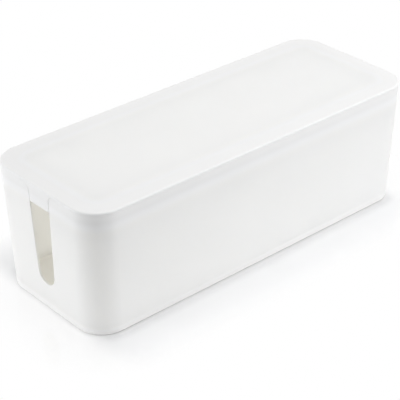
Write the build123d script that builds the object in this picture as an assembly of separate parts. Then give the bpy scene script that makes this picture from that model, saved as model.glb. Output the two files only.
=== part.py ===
from build123d import *

import os
from math import cos, radians, sin, tan

# A cable management box: an open-topped tub that a power strip lies in, with a slot
# in each end for the cables, a lid that lifts off, and four rubber feet.
#
# The two mouldings meet in one flush joint. It runs level round the rim and dips down
# both sides of each slot, where a tongue of the lid closes the slot's upper part.
#
# Millimetres. The origin is on the desk under the middle of the box. +X runs along
# the box, +Y across it and +Z up.

# ------------------------------------------------------------------ overall form
length = 400.0               # over the lid's upper face, along X, before its edge is rounded
width = 151.0                # the same, along Y
height = 130.0               # from the desk to the lid's upper face
corner_radius = 27.5         # of the four upright corners, the same from lid to base
draft = 1.8                  # degrees that the outer walls lean in towards the base

# --------------------------------------------------------------------------- tub
wall = 2.5                   # side and end walls
floor_thickness = 2.5
base_edge_chamfer = 0.6      # outside, where the walls meet the base
floor_edge_chamfer = 1.5     # inside, where the walls meet the floor
rim_outer_radius = 0.35      # outer edge of the rim, carried on round the slots
rim_inner_chamfer = 0.5      # inner edge of the rim, the same way

# Underside of the tub
panel_margin = 9.0           # flat band that is left round the sunk panel
panel_depth = 0.7
panel_corner_radius = 14.0
foot_pad_margin = 3.0        # flat ring that is left round each foot
gate_dimple_radius = 5.0     # in the middle, where the moulding was filled
gate_dimple_depth = 0.5

# ------------------------------------------------------------------- cable slots
slot_bottom = 27.5           # lowest point, above the desk
slot_end_radius = 12.0       # the round lower end
slot_lean = 2.0              # degrees that each side leans out towards the rim
slot_mouth_radius = 6.5      # where each side rolls out into the rim

# --------------------------------------------------------------------------- lid
lid_thickness = 3.0
lid_top_radius = 1.8         # round the upper face
lid_joint_chamfer = 0.2      # round the lower edge, along the joint with the rim
tongue_drop = 17.0           # how far each tongue reaches down below the rim
tongue_gap = 0.35            # each side of a tongue, in its slot
tongue_rib_thickness = 1.5   # two ribs stiffen each tongue from behind
tongue_rib_reach = 11.0      # along the underside of the lid
tongue_rib_spacing = 15.0
tongue_rib_stop = 3.0        # how far above the tongue's lower edge the ribs end

# Skirt that drops inside the rim and keeps the lid in place
skirt_depth = 7.0            # below the rim
skirt_thickness = 1.8        # at the root
skirt_gap = 0.7              # between the skirt and the tub's wall
skirt_lead = 0.6             # chamfer round the skirt's lower edge
skirt_break_margin = 3.0     # between the slot's mouth and where the skirt stops
pad_proud = 0.45             # centring pads, proud of the skirt
pad_length = 16.0
pad_pitch = 110.0            # between the pads on the long sides
pad_end_margin = 3.0         # between a pad on the ends and where the skirt stops

# -------------------------------------------------------------------------- feet
foot_radius = 8.0            # at the top
foot_narrowing = 0.8         # how much smaller its radius is at the desk
foot_stand = 0.8             # how far the feet hold the base off the desk
foot_seat_depth = 1.2        # how deep the feet sit in the base
foot_gap = 0.15              # round each foot, in its seat
foot_inset = 26.0            # from the base's outline to the middle of a foot

# ------------------------------------------------------- sizes that follow from them
lean = tan(radians(draft))
rim_height = height - lid_thickness
base_height = foot_stand
floor_height = base_height + floor_thickness
base_shrink = (height - base_height) * lean
base_length = length - 2 * base_shrink
base_width = width - 2 * base_shrink
tongue_bottom = rim_height - tongue_drop
skirt_bottom = rim_height - skirt_depth
slot_end_centre = slot_bottom + slot_end_radius
beyond = 2.0                 # how far a cut runs past the piece that it goes through

foot_centres = {
    "foot_front_left": (foot_inset - base_length / 2, foot_inset - base_width / 2),
    "foot_front_right": (base_length / 2 - foot_inset, foot_inset - base_width / 2),
    "foot_back_left": (foot_inset - base_length / 2, base_width / 2 - foot_inset),
    "foot_back_right": (base_length / 2 - foot_inset, base_width / 2 - foot_inset),
}


# ----------------------------------------------------------------- shared shapes
def drafted_block(inset, bottom, top):
    """The box's outer form between two heights, with every wall moved in by inset."""
    shrink = inset + (height - top) * lean
    outline = Rectangle(length - 2 * shrink, width - 2 * shrink)
    upside_down = extrude(outline, top - bottom, taper=draft)
    block = Pos(0, 0, top) * Rot(180, 0, 0) * upside_down
    upright_edges = block.edges().sort_by(Axis.Z)[4:8]
    return fillet(upright_edges, corner_radius - inset)


def lowest_edges(solid):
    return solid.edges().group_by(Axis.Z, tol_digits=3)[0]


def highest_edges(solid):
    return solid.edges().group_by(Axis.Z, tol_digits=3)[-1]


def slot_half_width(z):
    """Half the width of a cable slot at a height."""
    angle = radians(slot_lean)
    return (slot_end_radius + (z - slot_end_centre) * sin(angle)) / cos(angle)


def round_slot_end():
    """The lower end of a cable slot: an arc that runs smoothly into both sides."""
    angle = radians(slot_lean)
    y = slot_end_radius * cos(angle)
    z = slot_end_centre - slot_end_radius * sin(angle)
    return ThreePointArc((-y, z), (0, slot_bottom), (y, z))


def square_tongue_end():
    """The straight lower edge of a tongue."""
    y = slot_half_width(tongue_bottom) - tongue_gap
    return Line((-y, tongue_bottom), (y, tongue_bottom))


def joint_shape(stem_end, gap):
    """The space over the rim and down one slot, seen along the box and run through it.

    It is a bar above the rim with a stem that hangs from it, closed by stem_end. The
    corners where the two meet are rolled over. The tub is open over this shape, and
    the lid fills it, with a gap at both sides of the stem."""
    bar_side = width / 2 + beyond
    bar_top = height + beyond
    stem_side = slot_half_width(rim_height) - gap
    stem_end_right = stem_end @ 1
    outline = Polyline(
        (stem_end_right.X, stem_end_right.Y),
        (stem_side, rim_height),
        (bar_side, rim_height),
        (bar_side, bar_top),
        (-bar_side, bar_top),
        (-bar_side, rim_height),
        (-stem_side, rim_height),
        (-stem_end_right.X, stem_end_right.Y),
    )
    profile = make_face(stem_end + outline)
    rolled = [
        corner
        for corner in profile.vertices()
        if abs(corner.Y - rim_height) < 0.01 and abs(corner.X) < bar_side - beyond
    ]
    profile = fillet(rolled, slot_mouth_radius)
    reach = length + 2 * beyond
    return Pos(-reach / 2, 0, 0) * extrude(Plane.YZ * profile, reach)


# ------------------------------------------------------------------------- tub
def make_tub():
    block = drafted_block(0, base_height, height)
    block = chamfer(lowest_edges(block), base_edge_chamfer)
    opening = joint_shape(round_slot_end(), 0)
    solid = block - opening
    solid = fillet(new_edges(block, opening, combined=solid), rim_outer_radius)
    cavity = drafted_block(wall, floor_height, height + beyond)
    cavity = chamfer(lowest_edges(cavity), floor_edge_chamfer)
    tub = solid - cavity
    tub = chamfer(new_edges(solid, cavity, combined=tub), rim_inner_chamfer)
    tub -= sunk_panel()
    tub -= foot_seats()
    return tub


def sunk_panel():
    """What is hollowed out of the underside, with a pad left standing at each foot."""
    outline = RectangleRounded(
        base_length - 2 * panel_margin,
        base_width - 2 * panel_margin,
        panel_corner_radius,
    )
    for x, y in foot_centres.values():
        outline -= Pos(x, y) * Circle(foot_radius + foot_pad_margin)
    panel = Pos(0, 0, base_height - beyond) * extrude(outline, beyond + panel_depth)
    dimple_depth = panel_depth + gate_dimple_depth
    dimple = Pos(0, 0, base_height + dimple_depth / 2) * Cylinder(gate_dimple_radius, dimple_depth)
    return panel + dimple


def foot_seats():
    depth = foot_seat_depth + beyond
    middle = base_height + foot_seat_depth - depth / 2
    return [
        Pos(x, y, middle) * Cylinder(foot_radius + foot_gap, depth)
        for x, y in foot_centres.values()
    ]


# ------------------------------------------------------------------------- lid
def make_lid():
    block = drafted_block(0, tongue_bottom - beyond, height)
    space = joint_shape(square_tongue_end(), tongue_gap)
    lid = block & space
    joint = new_edges(block, space, combined=lid)
    lid -= drafted_block(wall, tongue_bottom - 2 * beyond, rim_height)
    lid = chamfer(edges_along(joint, lid), lid_joint_chamfer)
    lid = fillet(highest_edges(lid), lid_top_radius)
    lid += make_skirt()
    lid += tongue_ribs()
    return lid


def edges_along(path, solid):
    """The edges of a solid that lie where the edges of a path lie."""
    middles = [edge.center() for edge in path]
    return [
        edge
        for edge in solid.edges()
        if any((edge.center() - middle).length < 0.001 for middle in middles)
    ]


def skirt_stop():
    """How far from the middle of each end the skirt stops, clear of the slot's mouth."""
    return slot_half_width(rim_height) + slot_mouth_radius + skirt_break_margin


def make_skirt():
    """A wall under the lid that follows the inside of the tub and stops at each slot."""
    top = rim_height
    skirt = drafted_block(wall + skirt_gap, skirt_bottom, top)
    skirt = chamfer(lowest_edges(skirt), skirt_lead)
    pads = drafted_block(wall + skirt_gap - pad_proud, skirt_bottom, top)
    pads = chamfer(lowest_edges(pads), skirt_lead)
    skirt += [pads & zone for zone in pad_zones()]
    inside = wall + skirt_gap + skirt_thickness
    shrink = inside + lid_thickness * lean
    hollow = RectangleRounded(
        length - 2 * shrink,
        width - 2 * shrink,
        corner_radius - inside,
    )
    skirt -= Pos(0, 0, skirt_bottom - beyond) * extrude(hollow, top + beyond)
    skirt -= Pos(0, 0, top) * Box(length, 2 * skirt_stop(), 2 * (skirt_depth + beyond))
    return skirt


def pad_zones():
    """Where the centring pads stand, right across the box."""
    zone_height = 2 * (skirt_depth + beyond)
    along = [
        Pos(x, 0, rim_height) * Box(pad_length, width, zone_height)
        for x in (-pad_pitch, 0, pad_pitch)
    ]
    end_pad = skirt_stop() + pad_end_margin + pad_length / 2
    across = [
        Pos(0, y, rim_height) * Box(length, pad_length, zone_height)
        for y in (-end_pad, end_pad)
    ]
    return along + across


def tongue_ribs():
    """Triangular ribs between the back of each tongue and the underside of the lid."""
    low_z = tongue_bottom + tongue_rib_stop
    low_x = length / 2 - (height - low_z) * lean - wall / 2
    high_x = length / 2 - (height - rim_height) * lean - wall / 2
    inner_x = high_x - wall / 2 - tongue_rib_reach
    outline = Polyline((low_x, low_z), (high_x, rim_height), (inner_x, rim_height), close=True)
    rib = extrude(Plane.XZ * make_face(outline), tongue_rib_thickness / 2, both=True)
    return [
        Pos(0, y, 0) * Rot(0, 0, turn) * rib
        for turn in (0, 180)
        for y in (-tongue_rib_spacing / 2, tongue_rib_spacing / 2)
    ]


# ------------------------------------------------------------------------ feet
def make_foot(x, y):
    thickness = foot_stand + foot_seat_depth
    return Pos(x, y, thickness / 2) * Cone(foot_radius - foot_narrowing, foot_radius, thickness)


# ------------------------------------------------------------------- all pieces
pieces = {
    "box_body": make_tub(),
    "lid": make_lid(),
}
for name, (x, y) in foot_centres.items():
    pieces[name] = make_foot(x, y)

os.makedirs("parts", exist_ok=True)
for name, piece in pieces.items():
    export_step(piece, f"parts/{name}.step")
    size = piece.bounding_box().size
    print(f"{name}: {size.X:.1f} x {size.Y:.1f} x {size.Z:.1f} mm, {piece.volume / 1000:.1f} cm3")
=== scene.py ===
# %% [markdown]
# # A cable management box
# The real object is a long white tub with a lift-off lid. It hides a power strip, and
# the cables come out through a slot in each end. The construction model gives every
# piece its true shape, so this lesson is about finish: what makes plain white plastic
# look moulded, and how to light a white thing on a white table.
#
# Everything is in metres, in the construction model's own frame: +X runs along the box,
# +Y across it and +Z up, with the origin on the table under the middle of the box.

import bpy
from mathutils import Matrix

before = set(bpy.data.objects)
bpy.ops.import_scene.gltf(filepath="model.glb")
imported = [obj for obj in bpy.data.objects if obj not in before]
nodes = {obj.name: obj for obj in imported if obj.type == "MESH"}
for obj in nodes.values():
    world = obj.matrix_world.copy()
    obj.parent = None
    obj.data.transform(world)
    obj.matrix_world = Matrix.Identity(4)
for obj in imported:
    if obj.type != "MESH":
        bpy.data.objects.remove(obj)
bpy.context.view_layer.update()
print("pieces:", ", ".join(sorted(nodes)))

# %% [markdown]
# ## Camera
# The box is seen from above its near left corner with a long lens, which keeps its
# edges nearly parallel. The camera could be placed by hand, but two angles and a
# distance from a point in the box say the same in numbers that can be reasoned about.
# It is rolled by under half a degree, because a camera on a tripod is seldom quite level.

# %% Place the camera
import bpy
from math import cos, radians, sin
from mathutils import Matrix, Vector

MM = 0.001
CAMERA_AZIMUTH = radians(-41.2)
CAMERA_ELEVATION = radians(30.63)
CAMERA_ROLL = radians(-0.41)
CAMERA_DISTANCE = 1355.3 * MM
CAMERA_AIM = Vector((-8.3, 5.3, 38.8)) * MM
CAMERA_LENS = 124.62                    # focal length in millimetres
CAMERA_SENSOR = 36.0                    # width of the sensor in millimetres


def camera_axes(azimuth, elevation, roll):
    """Right, up and back of a camera that looks at its aim from these angles."""
    back = Vector((
        sin(azimuth) * cos(elevation),
        -cos(azimuth) * cos(elevation),
        sin(elevation),
    ))
    level_right = Vector((cos(azimuth), sin(azimuth), 0))
    level_up = back.cross(level_right)
    right = cos(roll) * level_right + sin(roll) * level_up
    up = -sin(roll) * level_right + cos(roll) * level_up
    return right, up, back


right, up, back = camera_axes(CAMERA_AZIMUTH, CAMERA_ELEVATION, CAMERA_ROLL)
camera_data = bpy.data.cameras.new("camera")
camera_data.lens = CAMERA_LENS
camera_data.sensor_width = CAMERA_SENSOR
camera_data.sensor_fit = "HORIZONTAL"
camera = bpy.data.objects.new("camera", camera_data)
bpy.context.scene.collection.objects.link(camera)
turn = Matrix((right, up, back)).transposed().to_4x4()
camera.matrix_world = Matrix.Translation(CAMERA_AIM + back * CAMERA_DISTANCE) @ turn
bpy.context.scene.camera = camera
print("camera at", [round(v, 3) for v in camera.matrix_world.translation])

# %% [markdown]
# ## Materials as small networks
# Each finish is a network of nodes. Clicking them together in the editor works, but
# code is easier to read again. A few helpers keep it short: one adds a node and fills
# its inputs, with a number or with another node's output, and the others add the kinds
# of node that come up again and again.
#
# A Mix node has inputs for numbers, vectors and colours, all with the same names, so the
# ones for colours are found by number.

# %% Helpers that add nodes
COLOUR_A = 6
COLOUR_B = 7
MIXED_COLOUR = 2


def add_node(tree, kind, inputs=None, **settings):
    """A new shader node. inputs gives values or other nodes' outputs, by name or number."""
    made = tree.nodes.new("ShaderNode" + kind)
    for name, value in settings.items():
        setattr(made, name, value)
    for socket, value in (inputs or {}).items():
        if isinstance(value, bpy.types.NodeSocket):
            tree.links.new(value, made.inputs[socket])
        else:
            made.inputs[socket].default_value = value
    return made


def maths(tree, operation, *values):
    """The result of one arithmetic node."""
    return add_node(tree, "Math", dict(enumerate(values)), operation=operation).outputs[0]


def ramp(tree, value, start, end, low=0.0, high=1.0):
    """low where value is at start, high where it is at end, and smooth in between."""
    inputs = {
        "Value": value,
        "From Min": start,
        "From Max": end,
        "To Min": low,
        "To Max": high,
    }
    return add_node(tree, "MapRange", inputs, interpolation_type="SMOOTHSTEP").outputs["Result"]


def mix_colours(tree, share, first, second):
    """first where share is 0, second where it is 1, and a blend in between."""
    inputs = {"Factor": share, COLOUR_A: first, COLOUR_B: second}
    return add_node(tree, "Mix", inputs, data_type="RGBA").outputs[MIXED_COLOUR]


def mix_shaders(tree, share, first, second):
    """The same for two whole shaders."""
    return add_node(tree, "MixShader", {0: share, 1: first.outputs[0], 2: second.outputs[0]})


def empty_material(name):
    """A new material with nothing in its network yet."""
    material = bpy.data.materials.new(name)
    material.use_nodes = True
    material.node_tree.nodes.clear()
    return material


print("node helpers ready")

# %% [markdown]
# ## How far a place is from the base
# Two finishes need it: the plastic, to tell the walls and the lid's border from what
# lies farther in, and the table. It is worked out from the outline that the tub's base
# leaves on the table, a rectangle with round corners. Measuring from every point of the
# tub would do as well, but a rectangle needs only its two half sizes and its corner
# radius. The distance is negative inside the outline.

# %% Measure the base and how far a place is from it
BASE_SLICE = 1.0 * MM                   # the lowest part of the tub, which gives the outline
BASE_CORNER = 27.5 * MM                 # radius of the outline's corners

tub_points = [vertex.co for vertex in nodes["box_body"].data.vertices]
base_height = min(point.z for point in tub_points)
base_rim = [point for point in tub_points if point.z < base_height + BASE_SLICE]
BASE_HALF_LENGTH = max(point.x for point in base_rim)
BASE_HALF_WIDTH = max(point.y for point in base_rim)
print("base:", round(2 * BASE_HALF_LENGTH, 4), "by", round(2 * BASE_HALF_WIDTH, 4), "m")


def diagonal(tree, first, second):
    """The diagonal of a rectangle with these two sides."""
    squares = [maths(tree, "POWER", side, 2.0) for side in (first, second)]
    return maths(tree, "SQRT", maths(tree, "ADD", *squares))


def beyond_straight(tree, coordinate, half_size):
    """How far a place lies past the straight part of one side, and 0 within it."""
    past = maths(tree, "SUBTRACT", maths(tree, "ABSOLUTE", coordinate), half_size - BASE_CORNER)
    return maths(tree, "MAXIMUM", past, 0.0)


def distance_from_base(tree):
    """How far a place lies outside the base's outline, seen from above."""
    place = add_node(tree, "NewGeometry").outputs["Position"]
    x, y, _ = add_node(tree, "SeparateXYZ", {0: place}).outputs
    past_x = beyond_straight(tree, x, BASE_HALF_LENGTH)
    past_y = beyond_straight(tree, y, BASE_HALF_WIDTH)
    return maths(tree, "SUBTRACT", diagonal(tree, past_x, past_y), BASE_CORNER)


# %% [markdown]
# ## What the plastic does to light
# White ABS is milky. Most of the light that falls on it comes back, and some goes
# through a 2.5 mm wall, so the inside of the closed box isn't black but glows in a
# warmer white. Subsurface scattering is the first tool to think of. Inside a wall this
# thin it mostly sends light back, though, and it leaves coloured specks. A Principled
# shader mixed with a Translucent one says directly how much passes, and it stays clean.
# A wall has two faces, and light passes both, so the share below counts twice.
#
# The light that comes out again is warm. The outer face has a faintly blue white, as
# white plastics do that are tinted to look whiter, and the two make a neutral wall.

# %% Colours of a thin wall
FRONT_WHITE = (0.945, 0.957, 0.992, 1)        # what the surface sends back
FRONT_WHITE_DULL = (0.935, 0.947, 0.982, 1)   # the same where it is cloudy or worn
THROUGH_WHITE = (0.99, 0.967, 0.89, 1)        # what comes through, a little warmer
PASSES_THROUGH = 0.36                         # share of the light that passes one face
print("share of the light that passes both faces:", round(PASSES_THROUGH ** 2, 2))

# %% [markdown]
# ## Where no light passes
# The floor of the tub stands on the table, where no light comes from below, so nothing
# passes there. Nor does light pass where one wall backs on another: along the rim, where
# the lid's skirt and edge meet the tub, and along the foot of the walls, where the floor
# begins. These places could be painted by hand. Their height and their distance from the
# base's outline find them just as well, and they find them again if the model changes.
#
# Such places are given painted whites in place of the light that passes the thin walls.
# Painted light makes the lid's border, the tub's floor and the foot of the walls about as
# bright as the thin walls. Painted shade, a darker white, lies in a band along the top of
# the walls that reaches lower than the lid's skirt, and with the lid raised it stays a soft
# grey band. Halfway between the two, only a quarter of the light passes and not half of
# it, because it passes two faces, and the front is whitest there, a painted light that
# makes up for it.

# %% Find the places where no light passes, and give them painted light and shade
# Painted shade: a darker white in a band along the top of the walls and the lid's sides.
BACKED_WALL_PAINTED_SHADE = (0.87, 0.865, 0.85, 1)    # where a wall backs on more plastic
# Painted light: brings the lid's border, the tub's floor and the foot of the walls up to the thin
# walls.
BACKED_FACE_PAINTED_LIGHT = (0.925, 0.915, 0.895, 1)  # the same on the lid's edge and the tub's floor
# Painted light: the front is whitest halfway between the thin and the backed places.
HALFWAY_PAINTED_LIGHT = (0.99, 0.99, 0.99, 1)         # halfway between a thin wall and a backed one
HALFWAY_PAINTED_LIGHT_GAIN = 2.7                            # 4 would bring all of that white to the middle
LID_EDGE = (129.2 * MM, 130.0 * MM)           # heights over which the lid's edge turns level
FLOOR_TOP = 3.3 * MM                          # height of the tub's floor inside
FLOOR_FADE = 2.0 * MM                         # how far above it light passes again
FOOT_OF_WALL = 10 * MM                        # height at which the floor stops counting
# The painted shade along the top of the walls starts and becomes full at these heights.
PAINTED_RIM_SHADE_START = 102 * MM                          # height at which the rim begins to count
PAINTED_RIM_SHADE_FULL = 121 * MM                           # height from which it counts in full
# The lid's border reaches this far in, so its painted light covers the shade the skirt casts inside
# the lid.
EDGE_START = -24 * MM                         # the border begins this far inside the outline
EDGE_FULL = -8 * MM                           # and counts in full from here outwards


def foot_of_wall(tree, height):
    """1 up to the tub's floor, falling to 0 a little way up its walls."""
    return ramp(tree, height, FLOOR_TOP, FOOT_OF_WALL, 1.0, 0.0)


def backed(tree, height):
    """1 where the plastic has more plastic behind it, and 0 in the thin walls. Along the top of the
    walls the band reaches lower, as painted shade.
    """
    rim = ramp(tree, height, PAINTED_RIM_SHADE_START, PAINTED_RIM_SHADE_FULL)
    foot = foot_of_wall(tree, height)
    edge = ramp(tree, distance_from_base(tree), EDGE_START, EDGE_FULL)
    return maths(tree, "MULTIPLY", maths(tree, "MAXIMUM", rim, foot), edge)


def solid_and_painted_share(tree, height):
    """1 where no light passes and the painted whites go: in the tub's floor and wherever the plastic
    is backed.
    """
    low = ramp(tree, height, FLOOR_TOP, FLOOR_TOP + FLOOR_FADE, 1.0, 0.0)
    return maths(tree, "MAXIMUM", low, backed(tree, height))


def halfway(tree, solid):
    """Painted light: highest halfway between thin and solid, falling to 0 at both."""
    thin_share = maths(tree, "SUBTRACT", 1.0, solid)
    return maths(tree, "MULTIPLY", maths(tree, "MULTIPLY", solid, thin_share), HALFWAY_PAINTED_LIGHT_GAIN)


print("the walls pass less light below", FOOT_OF_WALL / MM, "and above", PAINTED_RIM_SHADE_START / MM, "mm")

# %% [markdown]
# ## What the mould leaves on it
# The steel mould was spark-eroded, which prints a fine satin grain on the plastic. It
# is a bump a few hundredths of a millimetre high, much finer than a pixel from where
# the camera stands, and it is what keeps highlights soft. A second, slow bump is the
# slight unevenness of any large moulded wall. Real geometry could carry both, but it
# would take millions of faces to say what a bump says with one noise.

# %% The grain and the unevenness
GRAIN_SIZE = 0.35 * MM
GRAIN_HEIGHT = 0.02 * MM
GRAIN_STRENGTH = 0.6
UNEVEN_SIZE = 45 * MM
UNEVEN_HEIGHT = 0.12 * MM
PIN_DEPTH = 0.12 * MM


def noise(tree, place, size, detail=2.0):
    """Cloudy values between 0 and 1 whose blobs are about this size."""
    inputs = {"Vector": place, "Scale": 1 / size, "Detail": detail}
    return add_node(tree, "TexNoise", inputs).outputs[0]


def mould_relief(tree, place, pins):
    """The surface's direction after unevenness, grain and pin marks."""
    slow = add_node(tree, "Bump", {
        "Height": noise(tree, place, UNEVEN_SIZE),
        "Distance": UNEVEN_HEIGHT,
    })
    grain = add_node(tree, "Bump", {
        "Height": noise(tree, place, GRAIN_SIZE, detail=1.0),
        "Distance": GRAIN_HEIGHT,
        "Strength": GRAIN_STRENGTH,
        "Normal": slow.outputs["Normal"],
    })
    marks = add_node(tree, "Bump", {
        "Height": pins,
        "Distance": PIN_DEPTH,
        "Normal": grain.outputs["Normal"],
    }, invert=True)
    return marks.outputs["Normal"]


print("grain:", GRAIN_SIZE / MM, "mm wide and", GRAIN_HEIGHT / MM, "mm high")

# %% [markdown]
# ## Ejector marks
# Inside, where nobody looks, the pins that push the part out of the mould leave shallow
# round marks. They stand in a grid of four by two. Eight separate discs would do, but
# folding the coordinates with absolute values brings all eight places onto one, so one
# disc draws them all.

# %% Find the ejector marks
PIN_RADIUS = 3.5 * MM
PIN_EDGE = 0.25 * MM
PIN_PITCH_X = 96 * MM                   # from one mark to the next, along the box
PIN_PITCH_Y = 74 * MM                   # and across it
PIN_PLANE = 0.4 * MM                    # how near to the pins' face the marks appear


def pin_marks(tree, x, y, z, face_height):
    """1 inside each ejector mark on the face at this height, and 0 elsewhere."""
    fold = maths(tree, "ABSOLUTE", maths(tree, "SUBTRACT", maths(tree, "ABSOLUTE", x), PIN_PITCH_X))
    from_mark_x = maths(tree, "SUBTRACT", fold, PIN_PITCH_X / 2)
    from_mark_y = maths(tree, "SUBTRACT", maths(tree, "ABSOLUTE", y), PIN_PITCH_Y / 2)
    distance = diagonal(tree, from_mark_x, from_mark_y)
    disc = ramp(tree, distance, PIN_RADIUS - PIN_EDGE, PIN_RADIUS, 1.0, 0.0)
    near_face = maths(tree, "COMPARE", z, face_height, PIN_PLANE)
    return maths(tree, "MULTIPLY", disc, near_face)


print("ejector marks:", PIN_PITCH_X / MM, "mm apart along and", PIN_PITCH_Y / MM, "mm across")

# %% [markdown]
# ## What use leaves on it
# A box like this is wiped and handled, and it stays nearly new. The first signs come on
# the rounded edges: they are the first to touch a cloth, a wall or another box, and they
# turn a touch duller in short patches. A rounded edge is easy to find without looking at
# its neighbours, because it is the only place where the surface tilts between level and
# upright. The product of the tilt and its complement is largest there and nearly nothing
# on the flat faces. The big upright corners don't count, because they hardly tilt.

# %% Wear along the edges
TILT_GAIN = 4.0                         # brings the product's highest value, a quarter, to 1
EDGE_TILT_LOW = 0.3
EDGE_TILT_HIGH = 0.8
SCUFF_SIZE = 6 * MM
SCUFF_LOW = 0.5
SCUFF_HIGH = 0.7


def edge_wear(tree, place, tilt):
    """1 in scuffed patches on rounded edges, and 0 on the flat faces."""
    level = maths(tree, "ABSOLUTE", tilt)
    upright = maths(tree, "SUBTRACT", 1.0, level)
    product = maths(tree, "MULTIPLY", maths(tree, "MULTIPLY", level, upright), TILT_GAIN)
    edge = ramp(tree, product, EDGE_TILT_LOW, EDGE_TILT_HIGH)
    patches = ramp(tree, noise(tree, place, SCUFF_SIZE, detail=4.0), SCUFF_LOW, SCUFF_HIGH)
    return maths(tree, "MULTIPLY", edge, patches)


print("scuffs are about", SCUFF_SIZE / MM, "mm long")

# %% [markdown]
# ## The plastic's colour and gloss
# One flat white would look like paper. The real surface is a little cloudy, from the way
# the plastic flowed in the mould, and a little less glossy where it is handled. Painted
# textures could say so, but noises at the right sizes have no seams and need no files.

# %% Mix the whites and the gloss
CLOUD_SIZE = 60 * MM
CLOUD_LOW = 0.35
CLOUD_HIGH = 0.65
HANDLING_SIZE = 18 * MM
HANDLING_LOW = 0.3
HANDLING_HIGH = 0.7
ROUGHNESS_SMOOTH = 0.39
ROUGHNESS_DULL = 0.45
ROUGHNESS_WORN = 0.12                   # added where an edge is scuffed


def surface_colour(tree, place, height, wear, solid):
    """The thin wall's white, the painted shade and painted light of the backed places, and the
    painted light halfway between them.
    """
    clouds = ramp(tree, noise(tree, place, CLOUD_SIZE), CLOUD_LOW, CLOUD_HIGH)
    dullness = maths(tree, "MAXIMUM", wear, clouds)
    thin = mix_colours(tree, dullness, FRONT_WHITE, FRONT_WHITE_DULL)
    on_face = maths(tree, "MAXIMUM", ramp(tree, height, *LID_EDGE), foot_of_wall(tree, height))
    backed_painted_white = mix_colours(tree, on_face, BACKED_WALL_PAINTED_SHADE, BACKED_FACE_PAINTED_LIGHT)
    mixed = mix_colours(tree, solid, thin, backed_painted_white)
    return mix_colours(tree, halfway(tree, solid), mixed, HALFWAY_PAINTED_LIGHT)


def surface_roughness(tree, place, wear):
    """Smooth to dull in soft patches, and rougher where an edge is scuffed."""
    patches = noise(tree, place, HANDLING_SIZE, detail=4.0)
    handled = ramp(tree, patches, HANDLING_LOW, HANDLING_HIGH, ROUGHNESS_SMOOTH, ROUGHNESS_DULL)
    return maths(tree, "ADD", handled, maths(tree, "MULTIPLY", wear, ROUGHNESS_WORN))


print("roughness:", ROUGHNESS_SMOOTH, "to", ROUGHNESS_DULL)

# %% [markdown]
# ## The two plastic pieces
# The tub and the lid are the same plastic from two moulds, so one function makes both
# materials. They differ only in where the ejector marks are.

# %% Put the plastic together
LID_UNDERSIDE = 127.0 * MM              # lower face of the lid's top


def moulded_plastic(name, pins_at):
    """White plastic with its ejector marks on the face at the height pins_at."""
    material = empty_material(name)
    tree = material.node_tree
    coordinates = add_node(tree, "TexCoord").outputs
    place = coordinates["Object"]
    x, y, z = add_node(tree, "SeparateXYZ", {0: place}).outputs
    tilt = add_node(tree, "SeparateXYZ", {0: coordinates["Normal"]}).outputs["Z"]
    wear = edge_wear(tree, place, tilt)
    solid = solid_and_painted_share(tree, z)
    front = add_node(tree, "BsdfPrincipled", {
        "Base Color": surface_colour(tree, place, z, wear, solid),
        "Roughness": surface_roughness(tree, place, wear),
        "Normal": mould_relief(tree, place, pin_marks(tree, x, y, z, pins_at)),
    })
    through = add_node(tree, "BsdfTranslucent", {"Color": THROUGH_WHITE})
    share = maths(tree, "MULTIPLY_ADD", solid, -PASSES_THROUGH, PASSES_THROUGH)
    both = mix_shaders(tree, share, front, through)
    add_node(tree, "OutputMaterial", {"Surface": both.outputs[0]})
    return material


box_plastic = moulded_plastic("box_plastic", pins_at=FLOOR_TOP)
lid_plastic = moulded_plastic("lid_plastic", pins_at=LID_UNDERSIDE)
print("plastics:", box_plastic.name, lid_plastic.name)

# %% [markdown]
# ## Rubber feet
# The four feet are soft grey rubber. Rubber has no gloss to speak of, a fine pitted
# grain, and it picks up dust from the table, which makes it paler in patches. Dust could
# be a second shader over the first. It is so thin here that one noise between a clean
# and a dusty grey does the same.

# %% Make the rubber
RUBBER_CLEAN = (0.30, 0.30, 0.31, 1)
RUBBER_DUSTY = (0.46, 0.45, 0.43, 1)
ROUGHNESS_CLEAN = 0.66
ROUGHNESS_DUSTY = 0.85
DUST_SIZE = 2.5 * MM
DUST_LOW = 0.4
DUST_HIGH = 0.7
PIT_SIZE = 0.25 * MM
PIT_HEIGHT = 0.03 * MM


def grey_rubber(name):
    """Grey rubber with pits and patches of dust."""
    material = empty_material(name)
    tree = material.node_tree
    place = add_node(tree, "TexCoord").outputs["Object"]
    dust = ramp(tree, noise(tree, place, DUST_SIZE, detail=3.0), DUST_LOW, DUST_HIGH)
    pits = add_node(tree, "Bump", {"Height": noise(tree, place, PIT_SIZE), "Distance": PIT_HEIGHT})
    rubber = add_node(tree, "BsdfPrincipled", {
        "Base Color": mix_colours(tree, dust, RUBBER_CLEAN, RUBBER_DUSTY),
        "Roughness": ramp(tree, dust, 0.0, 1.0, ROUGHNESS_CLEAN, ROUGHNESS_DUSTY),
        "Normal": pits.outputs["Normal"],
    })
    add_node(tree, "OutputMaterial", {"Surface": rubber.outputs[0]})
    return material


foot_rubber = grey_rubber("foot_rubber")
print("rubber:", foot_rubber.name)

# %% [markdown]
# ## Dressing the pieces
# The construction pieces keep their shapes. Only their materials change: each piece gets
# its new one in the slots that it already has.

# %% Give every piece its material
finishes = {"box_body": box_plastic, "lid": lid_plastic}
for name, piece in nodes.items():
    for slot in piece.material_slots:
        slot.material = finishes.get(name, foot_rubber)
    print(name, "wears", piece.material_slots[0].material.name)

# %% [markdown]
# ## Bounces
# Light inside a white box is passed on many times before it is lost, so four bounces,
# the usual number, would leave the inside far too dark.

# %% Let light bounce for longer
cycles = bpy.context.scene.cycles
cycles.diffuse_bounces = 16
cycles.max_bounces = 24
print("diffuse bounces:", cycles.diffuse_bounces)

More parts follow.
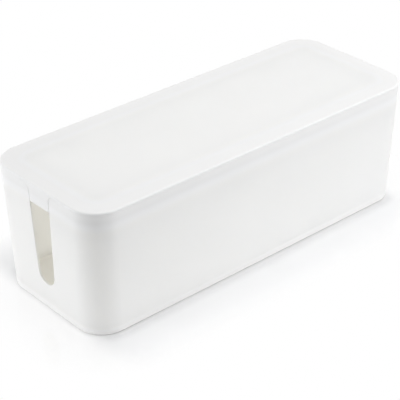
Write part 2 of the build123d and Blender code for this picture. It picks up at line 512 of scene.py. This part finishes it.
# %% [markdown]
# ## The table
# The box stands on a glossy white table that fades into a white room. A white thing on
# white needs the soft shadow under it and the faint mirror image below it, so the table
# keeps both near the box. Both die away within a hand's width.
#
# The rays that show the background are the camera's own and those that reach it by a
# reflection or through something. They see the table turn into plain white. The rays
# that light things don't, so the table gives no extra light to the box. The same test
# serves the table and the room.

# %% Tell the rays that show the background from those that light things
def sees_background(tree):
    """1 for camera, glossy and transmission rays, and 0 for the rays that light things."""
    path = add_node(tree, "LightPath").outputs
    seen = maths(tree, "MAXIMUM", path["Is Camera Ray"], path["Is Glossy Ray"])
    return maths(tree, "MAXIMUM", seen, path["Is Transmission Ray"])


print("ray test ready")

# %% [markdown]
# ## How white the table has turned
# The table turns white with distance from the box, and sooner past the two ends than
# beside the long walls, where the shadow is longer. Past the ends that white is painted
# light over the deeper shadow there. A round gradient would be simpler, but the box is
# long, and its shadow follows its outline.
#
# The feet leave a gap of less than a millimetre under the base, whose shadow would draw a
# black line. A share of painted light there, white over that shadow, keeps the line soft.

# %% Measure how white the table has turned
WHITE_REACH = 60 * MM                   # this far out the table has turned all white
END_LEAD = 13 * MM                      # the ends' own zone starts this far inside them
END_REACH = 18 * MM                     # and is full this much farther out
# Painted light over the shadow past the ends.
END_PAINTED_LIGHT = 0.88                    # of the table in that zone
# Painted light over the shadow line where the box meets the table.
GAP_PAINTED_LIGHT = 0.3                     # of the line where the box meets the table
GAP_REACH = 8 * MM                      # how far out that share fades away


def share_of(tree, value, whole):
    """value as a share of whole, kept between 0 and 1."""
    return add_node(tree, "Math", {0: value, 1: whole}, operation="DIVIDE", use_clamp=True).outputs[0]


def past_ends(tree):
    """0 beside the long sides, rising to 1 a little way past the ends of the box."""
    place = add_node(tree, "NewGeometry").outputs["Position"]
    x = add_node(tree, "SeparateXYZ", {0: place}).outputs[0]
    past = maths(tree, "SUBTRACT", maths(tree, "ABSOLUTE", x), BASE_HALF_LENGTH - END_LEAD)
    return share_of(tree, past, END_REACH)


def turned_white(tree, distance, ends):
    """How far the table has turned white: a share close to the box, and 1 farther out."""
    # Past the ends the white is painted light over the shadow there.
    kept_by_end = maths(tree, "MULTIPLY_ADD", ends, -END_PAINTED_LIGHT, 1.0)
    kept = maths(tree, "SUBTRACT", 1.0, share_of(tree, distance, WHITE_REACH))
    by_distance = maths(tree, "SUBTRACT", 1.0, maths(tree, "MULTIPLY", kept, kept_by_end))
    # Painted light softens the shadow line under the base.
    painted_light_in_gap = ramp(tree, distance, 0.0, GAP_REACH, GAP_PAINTED_LIGHT, 0.0)
    return maths(tree, "MAXIMUM", painted_light_in_gap, by_distance)


print("the table has turned white", WHITE_REACH / MM, "mm from the box")

# %% [markdown]
# ## The table's own colour
# The table is bright beside the box and grey farther off. There its grey can't be seen,
# and the walls of a real studio would be dark. That leaves the light from below
# strongest near the foot of the walls, and their lower half a little lighter than their
# upper. Close to the long walls the table is a little darker again, as part of the
# shadow there.

# %% Make the table's material
TABLE_NEAR = 0.95                       # colour beside the box
TABLE_FAR = 0.30
TABLE_FADE = (30 * MM, 600 * MM)        # distances between which it changes
CONTACT_SHADE = 0.20                    # how much darker the table is along the long walls
CONTACT_REACH = 14 * MM                 # how far out that goes
MIRROR_SHARE = 0.2                      # of the camera's rays, right beside the box
MIRROR_REACH = 60 * MM
MIRROR_ROUGHNESS = 0.05
PLAIN_WHITE = (1, 1, 1, 1)


def table_colour(tree, distance, ends):
    """Bright beside the box, grey farther off, and darker close to the long walls."""
    shade = ramp(tree, distance, 0.0, CONTACT_REACH, CONTACT_SHADE, 0.0)
    beside = maths(tree, "SUBTRACT", 1.0, ends)
    contact = maths(tree, "SUBTRACT", 1.0, maths(tree, "MULTIPLY", shade, beside))
    bare = ramp(tree, distance, *TABLE_FADE, TABLE_NEAR, TABLE_FAR)
    return maths(tree, "MULTIPLY", bare, contact)


def table_material():
    """A matt table that is seen to turn white, with a mirror image close to the box."""
    material = empty_material("white_table")
    tree = material.node_tree
    distance = distance_from_base(tree)
    ends = past_ends(tree)
    matt = add_node(tree, "BsdfDiffuse", {"Color": table_colour(tree, distance, ends)})
    white = add_node(tree, "Emission", {"Color": PLAIN_WHITE, "Strength": 1.0})
    whiteness = maths(tree, "MULTIPLY", turned_white(tree, distance, ends), sees_background(tree))
    fading = mix_shaders(tree, whiteness, matt, white)
    mirror = add_node(tree, "BsdfGlossy", {"Color": PLAIN_WHITE, "Roughness": MIRROR_ROUGHNESS})
    fade = ramp(tree, distance, 0.0, MIRROR_REACH, MIRROR_SHARE, 0.0)
    for_camera = add_node(tree, "LightPath").outputs["Is Camera Ray"]
    surface = mix_shaders(tree, maths(tree, "MULTIPLY", fade, for_camera), fading, mirror)
    add_node(tree, "OutputMaterial", {"Surface": surface.outputs[0]})
    return material


white_table = table_material()
print("table material:", white_table.name)

# %% [markdown]
# ## Laying the table
# One square face is enough, because the material does the rest. It is so large that its
# edges are never seen.

# %% Lay the table
TABLE_SIZE = 8.0

reach = TABLE_SIZE / 2
table_mesh = bpy.data.meshes.new("table")
table_corners = [(-reach, -reach, 0), (reach, -reach, 0), (reach, reach, 0), (-reach, reach, 0)]
table_mesh.from_pydata(table_corners, [], [(0, 1, 2, 3)])
table = bpy.data.objects.new("table", table_mesh)
bpy.context.scene.collection.objects.link(table)
table.data.materials.append(white_table)
print("table:", TABLE_SIZE, "m square")

# %% [markdown]
# ## The room
# The rays that see the background find a plain white room. The rays that light things
# find only a little, so the softboxes shape the box. All light is a touch cooler than
# white, because the plastic warms what it passes on.

# %% Make the room
ROOM_LIGHT = 0.25
LIGHT_COLOUR = (0.97, 0.98, 1.0)

room = bpy.data.worlds.new("white_room")
bpy.context.scene.world = room
room.use_nodes = True
room_tree = room.node_tree
room_tree.nodes.clear()
dim = add_node(room_tree, "Background", {"Color": (*LIGHT_COLOUR, 1), "Strength": ROOM_LIGHT})
bright = add_node(room_tree, "Background", {"Color": PLAIN_WHITE, "Strength": 1.0})
either = mix_shaders(room_tree, sees_background(room_tree), dim, bright)
add_node(room_tree, "OutputWorld", {"Surface": either.outputs[0]})
print("room light:", ROOM_LIGHT)

# %% [markdown]
# ## Softboxes
# A product photographer lights a white box from both sides and above, and leaves the
# side where the camera stands dark. Both visible walls come out nearly white, and the
# round corner between them, which faces the camera, turns a clear grey. That grey band
# is what shows how round the corner is.
#
# Each softbox is set by where it stands as seen from the box: its angle round the box,
# anticlockwise from +X, and its height as an angle. All stand equally far away, so their
# powers can be compared.

# %% Set up the softboxes
SOFTBOX_AIM = Vector((0, 0, 60)) * MM
SOFTBOX_DISTANCE = 1.3


def softbox(name, azimuth, elevation, size, watts):
    """A soft rectangular lamp that faces the box."""
    level = cos(radians(elevation))
    towards = Vector((
        level * cos(radians(azimuth)),
        level * sin(radians(azimuth)),
        sin(radians(elevation)),
    ))
    data = bpy.data.lights.new(name, "AREA")
    data.shape = "RECTANGLE"
    data.size, data.size_y = size
    data.energy = watts
    data.color = LIGHT_COLOUR
    lamp = bpy.data.objects.new(name, data)
    lamp.location = SOFTBOX_AIM + towards * SOFTBOX_DISTANCE
    lamp.rotation_euler = towards.to_track_quat("Z", "Y").to_euler()
    lamp.visible_camera = False
    bpy.context.scene.collection.objects.link(lamp)
    print(name, "at", [round(v, 2) for v in lamp.location])


softbox("overhead_softbox", azimuth=0, elevation=89, size=(1.0, 1.0), watts=4.0)
softbox("left_softbox", azimuth=155, elevation=8, size=(0.9, 0.5), watts=8.7)
softbox("front_softbox", azimuth=295, elevation=45, size=(1.0, 0.8), watts=7.0)
softbox("low_front_softbox", azimuth=300, elevation=10, size=(0.9, 0.5), watts=4.2)
softbox("back_softbox", azimuth=45, elevation=60, size=(1.0, 0.8), watts=2.9)

bpy.context.scene.view_settings.view_transform = "Standard"
